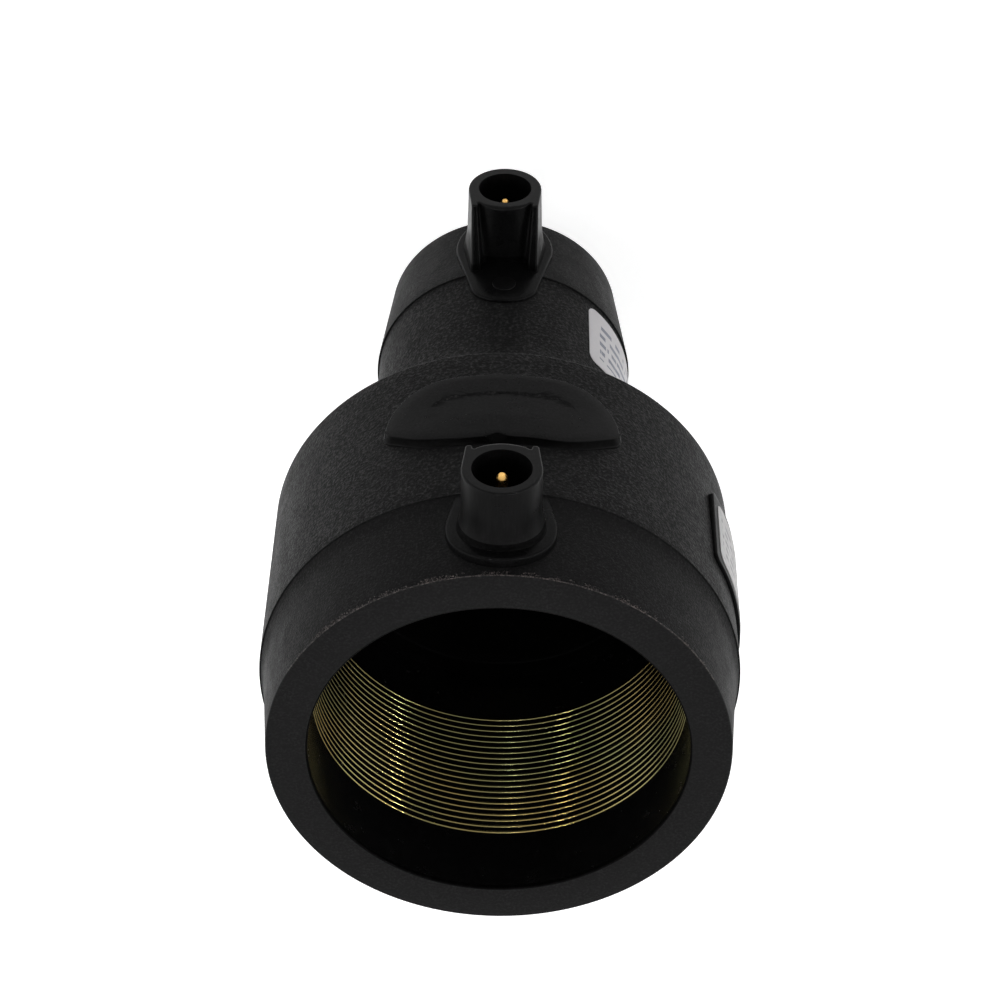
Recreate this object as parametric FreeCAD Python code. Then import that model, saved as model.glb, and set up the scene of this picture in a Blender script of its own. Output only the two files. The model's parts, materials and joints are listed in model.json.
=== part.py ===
import FreeCAD, Part
import math
import os

from FreeCAD import Placement, Rotation, Vector

# Electrofusion reducer. Units are millimetres.
# The fitting stands on the flat end of its small socket: z = 0 there, +Z along the pipe
# axis to the mouth of the large socket. Both terminals point to -Y.

# Large socket, lengths measured from its mouth
large_bore_radius = 31.9
large_socket_depth = 54.5
large_stop_width = 3.2
large_mouth_wall = 7.0
large_lip_length = 18.6
large_lip_taper = 1.45
large_belt_step = 0.75
large_belt_length = 39.0
large_belt_taper = 0.65

# Small socket, lengths measured from its mouth
small_bore_radius = 16.25
small_socket_depth = 40.0
small_stop_width = 3.65
small_mouth_wall = 5.5
small_lip_length = 20.6
small_lip_taper = 2.3
small_belt_step = 0.35
small_belt_length = 22.77

# Neck and shoulder between the sockets
neck_length = 13.5
shoulder_slope = 45.0
shoulder_blend = 20.0

# Bevels on the edges
belt_bevel = 0.6
face_bevel = 0.3
end_bevel = 0.6
large_mouth_bevel = 0.4

# Heating wire: one wire, wound in both sockets
wire_radius = 0.31
crest_depth = 0.17
winding_clearance = 0.1
large_turns = 21
small_turns = 14
turn_pitch = 1.4445
large_cold_length = 13.0
small_cold_length = 11.0
large_chords = 24
small_chords = 18
link_depth = 1.4
link_run_out = 1.2
link_stop_gap = 0.8
lead_overlap = 1.6
lead_elbow_depth = 0.75
channel_clearance = 0.14

# Terminals, one on each socket
large_terminal_setback = 11.0
small_terminal_setback = 11.2
large_shroud_height = 11.25
small_shroud_height = 12.0
shroud_inner_radius = 4.87
shroud_rim_radius = 6.48
shroud_waist_radius = 6.62
shroud_foot_radius = 7.35
shroud_flare_height = 4.2
shroud_depth = 12.1
terminal_root_depth = 2.6
rim_bevel = 0.2

# Fins that run on from each shroud's sides, toward the fitting's middle
fin_start = 1.0
fin_side_inset = 0.1
fin_tip_face_at_rim = 5.9
fin_tip_face_at_foot = 5.75
fin_thickness_at_rim = 1.1
fin_thickness_at_foot = 1.9
fin_reach_at_rim = 5.8
fin_reach_at_foot = 9.25

# Foot plate under each shroud
large_plate_height = 0.4
small_plate_height = 0.35
plate_round_end = 9.2
plate_nose_radius = 5.3
plate_nose_offset = 14.9
plate_bevel = 0.3
indicator_radius = 1.9
indicator_groove_width = 0.45
indicator_groove_depth = 0.4

# Contact pins
pin_radius = 1.0
pin_root_radius = 1.5
pin_tip_length = 0.5
pin_tip_radius = 0.55
pin_hole_clearance = 0.05
large_pin_recess = 1.15
small_pin_recess = 2.65
pin_foot_depth = 1.0

# Bare oval plate on top of the large belt
badge_height = 1.1
badge_setback = 13.2
badge_length = 17.2
badge_half_angle = 28.3
badge_front_corner = 6.5
badge_rear_corner = 10.5
badge_bevel = 0.25
badge_field_depth = 0.2
badge_side_margin = 5.6
badge_front_margin = 1.6
badge_rear_margin = 4.6
badge_field_front_corner = 2.5
badge_field_rear_corner = 7.0

# Raised seat of the large label, on the flank
seat_height = 0.45
seat_setback = 9.8
seat_length = 18.2
seat_start_angle = 62.0
seat_sweep_angle = 62.0
seat_root = 4.0
seat_corner_radius = 1.2

# Labels
label_thickness = 0.12
large_label_margin = 1.6
small_label_start_angle = 42.0
small_label_sweep_angle = 84.5
small_label_front = 1.6
small_label_length = 16.8
label_corner_radius = 2.0

# Working values: how far a cutter runs past a face, and how near two sizes count as one
overrun = 1.0
same = 0.01

# Radii worked out from the sizes above
large_face_radius = large_bore_radius + large_mouth_wall
large_lip_radius = large_face_radius + large_lip_taper
large_belt_front_radius = large_lip_radius + large_belt_step
large_belt_rear_radius = large_belt_front_radius - large_belt_taper
small_face_radius = small_bore_radius + small_mouth_wall
small_lip_radius = small_face_radius + small_lip_taper
small_belt_radius = small_lip_radius - small_belt_step
neck_radius = small_bore_radius - small_stop_width
large_plate_radius = large_lip_radius + large_plate_height
small_plate_radius = small_lip_radius + small_plate_height
large_rim_height = large_plate_radius + large_shroud_height
small_rim_height = small_plate_radius + small_shroud_height
badge_radius = large_belt_front_radius + badge_height
seat_radius = large_belt_front_radius + seat_height

# Heights worked out from the sizes above, from the small mouth up
shoulder_angle = math.radians(shoulder_slope)
shoulder_reach = shoulder_blend * math.tan(shoulder_angle / 2)
shoulder_rise = (large_belt_rear_radius - small_belt_radius) / math.tan(shoulder_angle)
shoulder_foot_z = small_lip_length + small_belt_length
shoulder_corner_z = shoulder_foot_z + shoulder_reach
large_belt_rear_z = shoulder_corner_z + shoulder_rise
large_step_z = large_belt_rear_z + large_belt_length
total_length = large_step_z + large_lip_length
large_stop_z = total_length - large_socket_depth
small_stop_z = small_socket_depth
neck_top_z = small_stop_z + neck_length
badge_front = large_lip_length + badge_setback
seat_front = large_lip_length + seat_setback

# Places of the wire and the pins
wire_half_width = wire_radius * math.sqrt(math.pi) / 2
large_coil_radius = large_bore_radius + wire_radius + crest_depth
small_coil_radius = small_bore_radius + wire_radius + crest_depth
large_coil_top_z = total_length - large_cold_length
large_coil_foot_z = large_coil_top_z - turn_pitch * large_turns
small_coil_foot_z = small_cold_length
small_coil_top_z = small_coil_foot_z + turn_pitch * small_turns
large_terminal_z = total_length - large_terminal_setback
small_terminal_z = small_terminal_setback
large_pin_foot = large_coil_radius + wire_radius + pin_foot_depth
small_pin_foot = small_coil_radius + wire_radius + pin_foot_depth
beside_pin_offset = pin_root_radius + pin_hole_clearance + wire_radius


def point(radius, height):
    """A point of the half section through the terminals' side, at -Y."""
    return Vector(0, -radius, height)


def runs(points):
    """Straight edges from each point to the next."""
    return [Part.LineSegment(a, b).toShape() for a, b in zip(points, points[1:])]


def turned(edges):
    """The solid of a closed half section turned once about the pipe axis."""
    face = Part.Face(Part.Wire(Part.__sortEdges__(edges)))
    return face.revolve(Vector(0, 0, 0), Vector(0, 0, 1), 360)


def shoulder_arc():
    """Start, middle and end of the hollow curve from the small belt to the cone."""
    half = shoulder_angle / 2
    start = point(small_belt_radius, shoulder_foot_z)
    middle = point(
        small_belt_radius + shoulder_blend * (1 - math.cos(half)),
        shoulder_foot_z + shoulder_blend * math.sin(half),
    )
    end = point(
        small_belt_radius + shoulder_reach * math.sin(shoulder_angle),
        shoulder_corner_z + shoulder_reach * math.cos(shoulder_angle),
    )
    return start, middle, end


def outside():
    """The moulding's outer form, solid to the axis."""
    start, middle, end = shoulder_arc()
    below = [
        point(0, 0),
        point(small_face_radius, 0),
        point(small_lip_radius, small_lip_length),
        point(small_belt_radius, small_lip_length),
        start,
    ]
    above = [
        end,
        point(large_belt_rear_radius, large_belt_rear_z),
        point(large_belt_front_radius, large_step_z),
        point(large_lip_radius, large_step_z),
        point(large_face_radius, total_length),
        point(0, total_length),
    ]
    arc = Part.Arc(start, middle, end).toShape()
    axis = runs([above[-1], below[0]])
    solid = turned(runs(below) + [arc] + runs(above) + axis)
    solid = bevelled(solid, small_face_radius, 0, end_bevel)
    solid = bevelled(solid, large_belt_rear_radius, large_belt_rear_z, belt_bevel)
    return bevelled(solid, large_face_radius, total_length, face_bevel)


def winding_recess(coil_radius, foot_z, top_z):
    """The stretch of a bore that is cut back for the wire, from its foot up."""
    room = wire_radius + winding_clearance
    return coil_radius + room, foot_z - room, top_z + room


def flow_passage():
    """Everything that is hollow on the pipe axis: both sockets, both stops, the neck."""
    small_wall, small_low, small_high = winding_recess(
        small_coil_radius, small_coil_foot_z, small_coil_top_z
    )
    large_wall, large_low, large_high = winding_recess(
        large_coil_radius, large_coil_foot_z, large_coil_top_z
    )
    points = [
        point(0, -overrun),
        point(small_bore_radius, -overrun),
        point(small_bore_radius, small_low),
        point(small_wall, small_low),
        point(small_wall, small_high),
        point(small_bore_radius, small_high),
        point(small_bore_radius, small_stop_z),
        point(neck_radius, small_stop_z),
        point(neck_radius, neck_top_z),
        point(large_bore_radius - large_stop_width, large_stop_z),
        point(large_bore_radius, large_stop_z),
        point(large_bore_radius, large_low),
        point(large_wall, large_low),
        point(large_wall, large_high),
        point(large_bore_radius, large_high),
        point(large_bore_radius, total_length - large_mouth_bevel),
        point(large_bore_radius + large_mouth_bevel, total_length),
        point(large_bore_radius + large_mouth_bevel, total_length + overrun),
        point(0, total_length + overrun),
    ]
    return turned(runs(points + points[:1]))


def circle_edge_at(shape, radius, height):
    """The edge that goes round the pipe axis nearest to this radius and height."""
    def miss(edge):
        if not isinstance(edge.Curve, Part.Circle):
            return math.inf
        centre = edge.Curve.Center
        off_axis = math.hypot(centre.x, centre.y)
        return off_axis + abs(edge.Curve.Radius - radius) + abs(centre.z - height)
    return min(shape.Edges, key=miss)


def bevelled(shape, radius, height, bevel):
    return shape.makeChamfer(bevel, [circle_edge_at(shape, radius, height)])


def stood_on_pipe(shape, terminal_z, toward_mouth_is_up):
    """Put a terminal's form in place.

    It is made with its own axis on +Z, measured from the pipe axis, and with the
    fitting's middle on its +Y side.
    """
    out = Rotation(Vector(1, 0, 0), 90)
    flip = Rotation(Vector(0, 0, 1), 180 if toward_mouth_is_up else 0)
    placed = shape.copy()
    placed.Placement = Placement(Vector(0, 0, terminal_z), out.multiply(flip))
    return placed


def plate_outline():
    """Outline of a foot plate: a round end, straight flanks and a smaller round nose."""
    lean = math.asin((plate_round_end - plate_nose_radius) / plate_nose_offset)
    side, back = math.cos(lean), math.sin(lean)

    def flank(radius, offset, sign):
        return Vector(sign * radius * side, offset + radius * back, 0)

    round_left = flank(plate_round_end, 0, -1)
    round_right = flank(plate_round_end, 0, 1)
    nose_left = flank(plate_nose_radius, plate_nose_offset, -1)
    nose_right = flank(plate_nose_radius, plate_nose_offset, 1)
    nose_tip = Vector(0, plate_nose_offset + plate_nose_radius, 0)
    round_tip = Vector(0, -plate_round_end, 0)
    return Part.Wire([
        Part.LineSegment(round_right, nose_right).toShape(),
        Part.Arc(nose_right, nose_tip, nose_left).toShape(),
        Part.LineSegment(nose_left, round_left).toShape(),
        Part.Arc(round_left, round_tip, round_right).toShape(),
    ])


def coaxial_bar(radius):
    """A bar about the pipe axis, in the frame that a terminal is made in."""
    length = 2 * total_length
    bar = Part.makeCylinder(radius, length, Vector(0, -length / 2, 0), Vector(0, 1, 0))
    bar.rotate(Vector(0, 0, 0), Vector(0, 1, 0), 180)
    return bar


def foot_plate(top_radius, wall_radius):
    """The plate under a shroud, curved like the pipe, with its indicator ring."""
    slab = Part.Face(plate_outline()).extrude(Vector(0, 0, top_radius + overrun))
    plate = slab.common(coaxial_bar(top_radius)).cut(coaxial_bar(wall_radius))
    plate = max(plate.Solids, key=lambda solid: solid.Volume)
    top_edges = [
        edge for edge in plate.Edges
        if all(abs(math.hypot(v.X, v.Z) - top_radius) < same for v in edge.Vertexes)
    ]
    plate = plate.makeChamfer(plate_bevel, top_edges)
    ring = Part.makeCylinder(indicator_radius, top_radius).cut(
        Part.makeCylinder(indicator_radius - indicator_groove_width, top_radius)
    )
    ring.translate(Vector(0, plate_nose_offset, top_radius - indicator_groove_depth))
    return plate.cut(ring)


def shroud_barrel(rim_height, plate_top, seat):
    """The round shroud, solid: straight at the rim and flared at its foot."""
    waist = plate_top + shroud_flare_height
    points = [
        Vector(0, 0, seat),
        Vector(shroud_foot_radius, 0, seat),
        Vector(shroud_foot_radius, 0, plate_top),
        Vector(shroud_waist_radius, 0, waist),
        Vector(shroud_rim_radius, 0, rim_height),
        Vector(0, 0, rim_height),
    ]
    barrel = turned(runs(points + points[:1]))
    return bevelled(barrel, shroud_rim_radius, rim_height, rim_bevel)


def between(first, second, share):
    return first + (second - first) * share


def fin_section(height, shroud_radius, share):
    """A fin's section at a height, share 0 being the rim's form and share 1 the foot's."""
    tip = between(fin_tip_face_at_rim, fin_tip_face_at_foot, share)
    inner = tip - between(fin_thickness_at_rim, fin_thickness_at_foot, share)
    reach = between(fin_reach_at_rim, fin_reach_at_foot, share)
    points = [
        Vector(inner, fin_start, height),
        Vector(shroud_radius - fin_side_inset, fin_start, height),
        Vector(tip, reach, height),
        Vector(inner, reach, height),
    ]
    return Part.makePolygon(points + points[:1])


def fins(rim_height, plate_top, seat):
    """Two upright fins, longer and thicker at the foot than at the rim."""
    waist = plate_top + shroud_flare_height
    waist_share = (rim_height - waist) / (rim_height - plate_top)
    sections = [
        fin_section(seat, shroud_foot_radius, 1),
        fin_section(plate_top, shroud_foot_radius, 1),
        fin_section(waist, shroud_waist_radius, waist_share),
        fin_section(rim_height, shroud_rim_radius, 0),
    ]
    is_solid, has_flat_sides = True, True
    right = Part.makeLoft(sections, is_solid, has_flat_sides)
    left = right.mirror(Vector(0, 0, 0), Vector(1, 0, 0))
    return right.fuse(left)


def terminal(rim_height, plate_radius, root_radius):
    """Shroud, fins and foot plate of one terminal, still without its cavity."""
    barrel = shroud_barrel(rim_height, plate_radius, root_radius)
    plate = foot_plate(plate_radius, root_radius)
    return barrel.fuse([fins(rim_height, plate_radius, root_radius), plate])


def terminal_cavity(rim_height, pin_foot):
    """The hollow of a shroud and the hole under it that holds the pin."""
    floor = rim_height - shroud_depth
    hollow = Part.makeCylinder(shroud_inner_radius, shroud_depth + overrun, Vector(0, 0, floor))
    hole = Part.makeCylinder(
        pin_root_radius + pin_hole_clearance, floor + overrun - pin_foot, Vector(0, 0, pin_foot)
    )
    return hollow.fuse(hole)


def pin(rim_height, recess, foot):
    """A contact pin: a thicker root in the wall, a straight shank and a short cone."""
    tip = rim_height - recess
    floor = rim_height - shroud_depth
    points = [
        Vector(0, 0, foot),
        Vector(pin_root_radius, 0, foot),
        Vector(pin_root_radius, 0, floor),
        Vector(pin_radius, 0, floor),
        Vector(pin_radius, 0, tip - pin_tip_length),
        Vector(pin_tip_radius, 0, tip),
        Vector(0, 0, tip),
    ]
    return turned(runs(points + points[:1]))


def upright_edges(shape, back_half):
    """The edges along +Z on the front or the back half of a block."""
    middle = shape.BoundBox.Center.y
    height = shape.BoundBox.ZLength
    upright = [e for e in shape.Edges if abs(e.BoundBox.ZLength - height) < same]
    return [e for e in upright if (e.CenterOfMass.y > middle) == back_half]


def rounded_block(half_width, front, length, low, high, front_corner, rear_corner):
    """An upright block with its own radius on the front and the rear corners."""
    size = (2 * half_width, length, high - low)
    block = Part.makeBox(*size, Vector(-half_width, front, low))
    block = block.makeFillet(front_corner, upright_edges(block, False))
    rear = [
        e for e in upright_edges(block, True)
        if abs(e.CenterOfMass.y - front - length) < same
    ]
    return block.makeFillet(rear_corner, rear)


def badge():
    """The bare oval plate on the large belt, with a shallow field in it."""
    half_width = badge_radius * math.sin(math.radians(badge_half_angle))
    root = large_face_radius - terminal_root_depth
    block = rounded_block(
        half_width, badge_front, badge_length, 0, badge_radius + overrun,
        badge_front_corner, badge_rear_corner,
    )
    plate = block.common(coaxial_bar(badge_radius)).cut(coaxial_bar(root))
    plate = max(plate.Solids, key=lambda solid: solid.CenterOfMass.z)
    rim_edges = [
        edge for edge in plate.Edges
        if all(abs(math.hypot(v.X, v.Z) - badge_radius) < same for v in edge.Vertexes)
    ]
    plate = plate.makeChamfer(badge_bevel, rim_edges)
    field = rounded_block(
        half_width - badge_side_margin,
        badge_front + badge_front_margin,
        badge_length - badge_front_margin - badge_rear_margin,
        0, badge_radius + overrun,
        badge_field_front_corner, badge_field_rear_corner,
    )
    return plate.cut(field.cut(coaxial_bar(badge_radius - badge_field_depth)))


def curved_patch(inner, outer, low_z, high_z, start_angle, sweep_angle, corner):
    """A patch bent round the pipe, its angles measured from -Y toward -X."""
    section = [
        point(inner, low_z), point(outer, low_z), point(outer, high_z), point(inner, high_z),
    ]
    face = Part.Face(Part.makePolygon(section + section[:1]))
    patch = face.revolve(Vector(0, 0, 0), Vector(0, 0, 1), -sweep_angle)
    thickness = outer - inner
    across = [
        edge for edge in patch.Edges
        if isinstance(edge.Curve, Part.Line) and abs(edge.Length - thickness) < same
    ]
    patch = patch.makeFillet(corner, across)
    patch.rotate(Vector(0, 0, 0), Vector(0, 0, 1), -start_angle)
    return patch


def label_seat():
    """The raised seat that the large label lies on."""
    return curved_patch(
        large_bore_radius + seat_root, seat_radius,
        total_length - seat_front - seat_length, total_length - seat_front,
        seat_start_angle, seat_sweep_angle, seat_corner_radius,
    )


def large_label():
    margin_angle = math.degrees(large_label_margin / seat_radius)
    return curved_patch(
        seat_radius, seat_radius + label_thickness,
        total_length - seat_front - seat_length + large_label_margin,
        total_length - seat_front - large_label_margin,
        seat_start_angle + margin_angle, seat_sweep_angle - 2 * margin_angle,
        label_corner_radius,
    )


def small_label():
    low_z = small_lip_length + small_label_front
    return curved_patch(
        small_belt_radius, small_belt_radius + label_thickness,
        low_z, low_z + small_label_length,
        small_label_start_angle, small_label_sweep_angle, label_corner_radius,
    )


def large_lead():
    """From the large pin's foot down to the top of the large winding."""
    beside_pin = large_terminal_z - beside_pin_offset
    return [
        point(large_pin_foot + lead_overlap, beside_pin),
        point(large_coil_radius + lead_elbow_depth, beside_pin),
    ]


def small_lead():
    """From the foot of the small winding out to the small pin's foot."""
    beside_pin = small_terminal_z - beside_pin_offset
    return [
        point(small_coil_radius + lead_elbow_depth, beside_pin),
        point(small_pin_foot + lead_overlap, beside_pin),
    ]


def link():
    """The wire's way through the wall, past both pipe stops."""
    return [
        point(large_coil_radius + link_depth, large_coil_foot_z - link_run_out),
        point(large_coil_radius + link_depth, large_stop_z + link_stop_gap),
        point(small_coil_radius + link_depth, small_stop_z + link_stop_gap),
        point(small_coil_radius + link_depth, small_coil_top_z + link_run_out),
    ]


def winding(radius, top_z, turns, chords):
    """Points of a downward helix that starts and ends under the terminals."""
    points = []
    for step in range(turns * chords + 1):
        angle = 2 * math.pi * step / chords - math.pi / 2
        height = top_z - turn_pitch * step / chords
        points.append(Vector(radius * math.cos(angle), radius * math.sin(angle), height))
    return points


def swept_square(points, half_width):
    """A square bar along the points, with mitred corners and a flat side inward."""
    path = Part.makePolygon(points)
    ahead = (points[1] - points[0]).normalize()
    across = Vector(1, 0, 0)
    beside = ahead.cross(across)
    corners = [
        points[0] + across * half_width * a + beside * half_width * b
        for a, b in ((1, 1), (-1, 1), (-1, -1), (1, -1))
    ]
    section = Part.makePolygon(corners + corners[:1])
    right_corners = 1
    return path.makePipeShell([section], True, False, right_corners)


def heating_wire():
    """The whole wire: lead, large winding, link, small winding and lead."""
    large = winding(large_coil_radius, large_coil_top_z, large_turns, large_chords)
    small = winding(small_coil_radius, small_coil_top_z, small_turns, small_chords)
    points = large_lead() + large + link() + small + small_lead()
    return swept_square(points, wire_half_width)


def wire_channels():
    """The hollows in the wall that the leads and the link lie in."""
    half_width = wire_half_width + channel_clearance
    large_start = point(large_coil_radius, large_coil_top_z)
    large_end = point(large_coil_radius, large_coil_foot_z)
    small_start = point(small_coil_radius, small_coil_top_z)
    small_end = point(small_coil_radius, small_coil_foot_z)
    ways = [
        large_lead() + [large_start],
        [large_end] + link() + [small_start],
        [small_end] + small_lead(),
    ]
    return [swept_square(way, half_width) for way in ways]


def body():
    """The one moulded piece: both sockets, neck, terminals, plate and label seat."""
    large_root = large_face_radius - terminal_root_depth
    small_root = small_face_radius - terminal_root_depth
    large_terminal = terminal(large_rim_height, large_plate_radius, large_root)
    small_terminal = terminal(small_rim_height, small_plate_radius, small_root)
    added = [
        stood_on_pipe(large_terminal, large_terminal_z, True),
        stood_on_pipe(small_terminal, small_terminal_z, False),
        stood_on_pipe(badge(), total_length, True),
        label_seat(),
    ]
    large_cavity = terminal_cavity(large_rim_height, large_pin_foot)
    small_cavity = terminal_cavity(small_rim_height, small_pin_foot)
    removed = [
        flow_passage(),
        stood_on_pipe(large_cavity, large_terminal_z, True),
        stood_on_pipe(small_cavity, small_terminal_z, False),
    ]
    solid = outside().fuse(added).removeSplitter()
    return solid.cut(removed + wire_channels())


def pieces():
    """Every piece by the name of its node."""
    large_pin = pin(large_rim_height, large_pin_recess, large_pin_foot)
    small_pin = pin(small_rim_height, small_pin_recess, small_pin_foot)
    return {
        "body": body(),
        "heating_wire": heating_wire(),
        "terminal_pin_large": stood_on_pipe(large_pin, large_terminal_z, True),
        "terminal_pin_small": stood_on_pipe(small_pin, small_terminal_z, False),
        "label_large": large_label(),
        "label_small": small_label(),
    }


os.makedirs("parts", exist_ok=True)
for name, shape in pieces().items():
    shape.exportStep(f"parts/{name}.step")
    print(name, shape.ShapeType, len(shape.Solids), shape.isValid(), round(shape.Volume, 1))
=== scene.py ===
import json
import math
from functools import partial

import bmesh
import bpy
from mathutils import Matrix, Vector, noise


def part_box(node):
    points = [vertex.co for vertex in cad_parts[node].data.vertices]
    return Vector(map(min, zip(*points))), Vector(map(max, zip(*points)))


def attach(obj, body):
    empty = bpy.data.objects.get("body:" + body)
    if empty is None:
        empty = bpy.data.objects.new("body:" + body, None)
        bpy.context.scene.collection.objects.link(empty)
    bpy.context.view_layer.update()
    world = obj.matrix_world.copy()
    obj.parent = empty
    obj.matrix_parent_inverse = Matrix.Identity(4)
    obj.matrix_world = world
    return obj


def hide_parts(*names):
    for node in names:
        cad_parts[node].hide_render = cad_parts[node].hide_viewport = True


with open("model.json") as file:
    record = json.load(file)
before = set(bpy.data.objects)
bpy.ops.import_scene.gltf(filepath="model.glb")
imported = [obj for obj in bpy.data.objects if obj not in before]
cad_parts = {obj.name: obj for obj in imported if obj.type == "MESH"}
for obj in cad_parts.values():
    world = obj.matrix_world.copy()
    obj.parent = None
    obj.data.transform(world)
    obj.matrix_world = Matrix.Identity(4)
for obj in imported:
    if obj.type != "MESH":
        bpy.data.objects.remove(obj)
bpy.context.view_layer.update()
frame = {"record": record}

# Electrofusion reducer, dressed for a studio picture. Lengths are in metres, so a size
# in millimetres is written with mm after it.
mm = 0.001
mounts = {mount["name"]: mount for mount in frame["record"]["mounts"]}
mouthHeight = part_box("body")[1].z
largeBore = mounts["large_socket"]["dims"]["r_mm"] * mm
smallBore = mounts["small_socket"]["dims"]["r_mm"] * mm
largeTerminalHeight = mounts["large_terminal_pin"]["pos_m"][2]
smallTerminalHeight = mounts["small_terminal_pin"]["pos_m"][2]


# Node tools. An input takes a value or another node's output, and None leaves it alone.

def fill(tree, node, inputs):
    for name, value in inputs.items():
        if isinstance(value, bpy.types.NodeSocket):
            tree.links.new(value, node.inputs[name])
        elif value is not None:
            node.inputs[name].default_value = value


def treeNode(tree, kind, inputs=None, **settings):
    node = tree.nodes.new(kind)
    for name, value in settings.items():
        setattr(node, name, value)
    fill(tree, node, inputs or {})
    return node


def made(tree, kind, inputs=None, **settings):
    return treeNode(tree, kind, inputs, **settings).outputs[0]


def calculated(tree, operation, *values):
    return made(tree, "ShaderNodeMath", dict(enumerate(values)), operation=operation)


def noisePattern(tree, place, scale, detail=3.0, roughness=0.55):
    return made(tree, "ShaderNodeTexNoise", {
        "Vector": place, "Scale": scale, "Detail": detail, "Roughness": roughness,
    })


def ramped(tree, source, low, high, toLow=0.0, toHigh=1.0):
    return made(tree, "ShaderNodeMapRange", {
        "Value": source, "From Min": low, "From Max": high, "To Min": toLow, "To Max": toHigh,
    })


def blended(tree, share, first, second):
    # 6, 7 and output 2 are the colours of a node that also mixes numbers and vectors
    inputs = {"Factor": share, 6: first, 7: second}
    return treeNode(tree, "ShaderNodeMix", inputs, data_type="RGBA").outputs[2]


def bumped(tree, height, depth, onto=None):
    return made(tree, "ShaderNodeBump", {"Height": height, "Distance": depth, "Normal": onto})


def combined(tree, x=None, y=None, z=None):
    return made(tree, "ShaderNodeCombineXYZ", {"X": x, "Y": y, "Z": z})


def newMaterial(name):
    material = bpy.data.materials.new(name)
    material.use_nodes = True
    tree = material.node_tree
    return material, tree, tree.nodes["Principled BSDF"]


def objectPlace(tree):
    return treeNode(tree, "ShaderNodeTexCoord").outputs["Object"]


# Black polyethylene in the finishes that the mould gives it. Grain and cells are each a
# scale and a depth. What a finish leaves out is as in plainFinish.
plainFinish = {"stretch": (1, 1, 1), "sparkle": (0.45, 0.75)}
# The second colour of each finish is partly wear, partly painted sparkle.
plasticFinishes = {
    "beltGrain": {
        "colour": (0.0085, 0.0085, 0.0086, 1), "wornAndGlint": (0.027, 0.0265, 0.0262, 1),
        "roughness": (0.36, 0.52), "specular": (0.014, 0.045), "sparkle": (0.54, 0.72),
        "grain": (1750, 0.15 * mm), "cells": (3600, 0.04 * mm), "waviness": 0.012 * mm,
    },
    "lipGrain": {
        "colour": (0.0080, 0.0080, 0.0081, 1), "wornAndGlint": (0.0170, 0.0168, 0.0167, 1),
        "roughness": (0.38, 0.54), "specular": (0.020, 0.040), "sparkle": (0.54, 0.74),
        "grain": (2300, 0.09 * mm), "cells": (4200, 0.03 * mm), "waviness": 0.012 * mm,
    },
    "faceSatin": {
        "colour": (0.0040, 0.0040, 0.0041, 1), "wornAndGlint": (0.013, 0.013, 0.0131, 1),
        "roughness": (0.42, 0.55), "specular": (0.085, 0.095),
        "grain": (2200, 0.025 * mm), "cells": (1700, 0.008 * mm), "waviness": 0.03 * mm,
    },
    "plateSatin": {
        "colour": (0.0024, 0.0024, 0.0025, 1), "wornAndGlint": (0.007, 0.007, 0.0072, 1),
        "roughness": (0.24, 0.36), "specular": (0.038, 0.042),
        "grain": (2400, 0.010 * mm), "cells": (1500, 0.006 * mm), "waviness": 0.05 * mm,
    },
    "shroudSatin": {
        "colour": (0.0025, 0.0025, 0.0026, 1), "wornAndGlint": (0.005, 0.005, 0.0051, 1),
        "roughness": (0.25, 0.38), "specular": (0.072, 0.078), "stretch": (1, 0.12, 1),
        "grain": (2600, 0.008 * mm), "cells": (900, 0.006 * mm), "waviness": 0.06 * mm,
    },
    # A darker, duller finish that paints shade on steep walls and at feet.
    "shadedWall": {
        "colour": (0.0010, 0.0010, 0.0010, 1), "wornAndGlint": (0.003, 0.003, 0.0031, 1),
        "roughness": (0.30, 0.45), "specular": (0.018, 0.022), "stretch": (1, 1, 0.4),
        "grain": (1500, 0.02 * mm), "cells": (900, 0.012 * mm), "waviness": 0.08 * mm,
    },
    "boreGloss": {
        "colour": (0.0025, 0.0025, 0.0026, 1), "wornAndGlint": (0.005, 0.005, 0.0051, 1),
        "roughness": (0.16, 0.30), "specular": (0.18, 0.20), "stretch": (1, 1, 0.35),
        "grain": (1200, 0.003 * mm), "cells": (500, 0.003 * mm), "waviness": 0.04 * mm,
    },
    # Darker than the bore above it: painted shade deep in the bore.
    "shadedDeepBore": {
        "colour": (0.0008, 0.0008, 0.0008, 1), "wornAndGlint": (0.002, 0.002, 0.0021, 1),
        "roughness": (0.30, 0.44), "specular": (0.007, 0.009), "stretch": (1, 1, 0.35),
        "grain": (1200, 0.004 * mm), "cells": (500, 0.004 * mm), "waviness": 0.04 * mm,
    },
    "tornEdge": {
        "colour": (0.010, 0.009, 0.0088, 1), "wornAndGlint": (0.095, 0.078, 0.072, 1),
        "roughness": (0.42, 0.60), "specular": (0.15, 0.35), "sparkle": (0.42, 0.62),
        "grain": (2600, 0.03 * mm), "cells": (2100, 0.03 * mm), "waviness": 0.03 * mm,
    },
}
finishNumber = {name: number for number, name in enumerate(plasticFinishes)}
# Wear, painted sparkle and gloss that finishes share. Pairs say where a pattern starts and ends to
# count.
sharedPatterns = {
    "broadScale": 70, "patchScale": 260, "speckScale": 3400, "specks": (0.70, 0.76),
    "speckWearAndGlint": 0.8, "patchWearAndGlint": (0.2, 0.7), "patchGloss": (0.25, 0.75), "crests": (0.42, 0.64),
    "tinting": (0.35, 0.65), "polish": (0.3, 0.7),
}


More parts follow.
